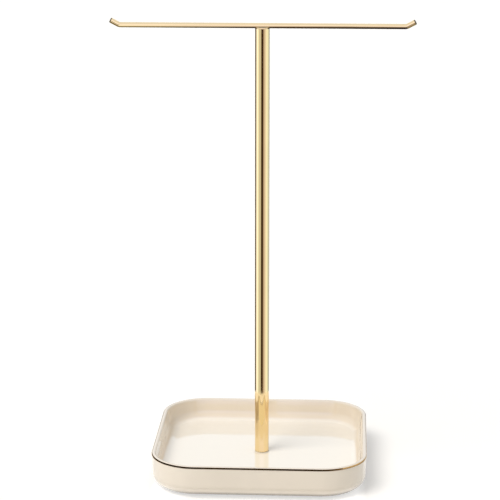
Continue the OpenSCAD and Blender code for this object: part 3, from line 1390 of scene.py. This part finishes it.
        # A dark hood before the lip, edge on to what the post mirrors. A band
        # goes on down from its edge, and another from there to the table.
        slope = math.tan(math.radians(18.4))
        top, touch = tray.rim_height - 0.00008, tray.wall / 2 * 0.68
        start, reach = -0.00042, self.before_rim
        edges = [(off, top - (off + touch) * slope) for off in (start, reach)]
        edges += [(reach, tray.rim_height - 0.0027), (reach, 0.0005)]
        line = (
            (0.0, 0.03, 0.02, 0.01),
            (0.5, 0.07, 0.055, 0.035),
            (0.78, 0.04, 0.025, 0.01),
            (0.84, 0.10, 0.08, 0.05),
            (0.89, 0.35, 0.28, 0.20),
        )
        wall = (
            (0.0, 0.90, 0.88, 0.84),
            (0.08, 0.60, 0.58, 0.54),
            (0.30, 0.16, 0.15, 0.13),
            (0.80, 0.12, 0.10, 0.08),
            (0.92, 0.45, 0.42, 0.36),
            (1.0, 0.80, 0.78, 0.74),
        )
        for k, (name, stops, *ends) in enumerate(
            (
                ("card_hood", line, 180, 300, -0.028),
                ("card_before_line", line, 190, 350),
                ("card_before_wall", wall, 190, 350),
            )
        ):
            band = self.along_front(name, tray, edges[k : k + 2], *ends)
            self.only_mirrored(band, by_place(tray.width / 2, stops))
        # The lit inside of the front wall, for the foot of the post.
        floor = tray.rim_height - tray.well_depth
        edges = (
            (-0.0034, tray.rim_height - 0.0012),
            (-0.0047, floor + 0.0065),
            (-0.0072, floor + 0.0020),
            (-0.0120, floor + 0.0003),
        )
        lit = self.along_front("card_front_wall", tray, edges, 205, 335)
        self.only_mirrored(lit, (0.92, 0.84, 0.66))

    def surround(self):
        """A room in miniature: tones by bearing, on the table and round it.

        A bearing of 0 is towards the camera, and they grow to the right. The
        numbers are the share of full white that comes from there.
        """
        room = (
            (-180, 0.16, 0.15, 0.13),
            (-114, 0.14, 0.13, 0.11),
            (-106, 1.00, 1.05, 1.20),
            (-100, 1.34, 1.42, 1.75),
            (-80, 1.38, 1.44, 1.65),
            (-64, 1.08, 1.16, 1.16),
            (-52, 0.68, 0.74, 0.78),
            (-28, 0.70, 0.78, 0.80),
            (-20, 0.48, 0.44, 0.34),
            (-13, 0.10, 0.06, 0.02),
            (-9, 0.03, 0.012, 0.002),
            (9, 0.03, 0.012, 0.002),
            (13, 0.20, 0.15, 0.12),
            (18, 0.44, 0.37, 0.34),
            (31, 0.63, 0.58, 0.61),
            (48, 0.87, 0.86, 0.91),
            (65, 1.08, 1.16, 1.23),
            (84, 1.10, 1.27, 1.34),
            (107, 0.79, 0.91, 1.00),
            (140, 0.50, 0.58, 0.69),
            (166, 0.30, 0.30, 0.30),
            (180, 0.25, 0.23, 0.19),
        )
        # A ramp's colours go up to 1, so they are scaled, and the card glows
        # as much more.
        full, steps, low = 1.8, 120, 0.0004
        stops = [
            ((turn + 180) / 360, red / full, green / full, blue / full)
            for turn, red, green, blue in room
        ]
        rings = ((0.168, low), (0.5, low), (2.0, low), (6.0, low), (6.0, 0.5))
        vertices = [
            (reach * x, reach * y, height)
            for reach, height in rings
            for x, y in ring(steps)
        ]
        card = plain_mesh("card_surround", vertices, grid_faces(len(rings), steps))

        def by_bearing(tree):
            place = add(tree, "ShaderNodeTexCoord").outputs["Object"]
            turn = {"Vector": place, "Rotation": (0, 0, -self.bearing)}
            part = add(tree, PARTS, [add(tree, "ShaderNodeMapping", turn)]).outputs
            front = add(tree, MATH, [part["Y"], -1.0], operation="MULTIPLY")
            turn = add(tree, MATH, [part["X"], front], operation="ARCTAN2")
            return tones(tree, add(tree, SPREAD, [turn, -math.pi, math.pi]), stops)

        self.only_mirrored(card, by_bearing, full)

    def only_mirrored(self, card, tone, strength=1.0):
        """A glowing card that no eye sees but a mirror's.

        Its tone is a linear colour, or what makes one in its node tree.
        """
        material, tree = blank_material("Lit_" + card.name)
        shown = tone(tree) if callable(tone) else [*tone, 1]
        glow = add(tree, "ShaderNodeEmission", [shown, strength])
        add(tree, "ShaderNodeOutputMaterial", [glow])
        card.data.materials.append(material)
        card.visible_camera = False
        card.visible_diffuse = False
        card.visible_transmission = False
        card.visible_shadow = False


# ------------------------------------------------------------------- panel

MAKERS = (
    STAND_OT_stage,
    STAND_OT_tray,
    STAND_OT_gilding,
    STAND_OT_post,
    STAND_OT_bar,
    STAND_OT_clamp,
    STAND_OT_pads,
)


class STAND_PT_panel(bpy.types.Panel):
    """The stand's sizes and colours, and a button for each group of pieces"""

    bl_label = "Jewellery stand"
    bl_space_type = "VIEW_3D"
    bl_region_type = "UI"
    bl_category = "Jewellery stand"

    def draw(self, context):
        settings = context.scene.jewellery_stand
        for group in ("tray", "gilding", "post", "bar", "clamp", "pads", "stage"):
            part = getattr(settings, group)
            box = self.layout.box()
            box.label(text=group.capitalize())
            for name in part.__annotations__:
                box.prop(part, name)
        for maker in MAKERS:
            self.layout.operator(maker.bl_idname)


CLASSES = (
    StandTraySettings,
    StandGildingSettings,
    StandPostSettings,
    StandBarSettings,
    StandClampSettings,
    StandPadSettings,
    StandStageSettings,
    StandSettings,
    *MAKERS,
    STAND_PT_panel,
)


def register():
    for made in CLASSES:
        bpy.utils.register_class(made)
    bpy.types.Scene.jewellery_stand = bpy.props.PointerProperty(type=StandSettings)


def unregister():
    del bpy.types.Scene.jewellery_stand
    for made in reversed(CLASSES):
        bpy.utils.unregister_class(made)


def main():
    register()
    for maker in MAKERS:
        group, name = maker.bl_idname.split(".")
        getattr(getattr(bpy.ops, group), name)()


if __name__ == "__main__":
    main()
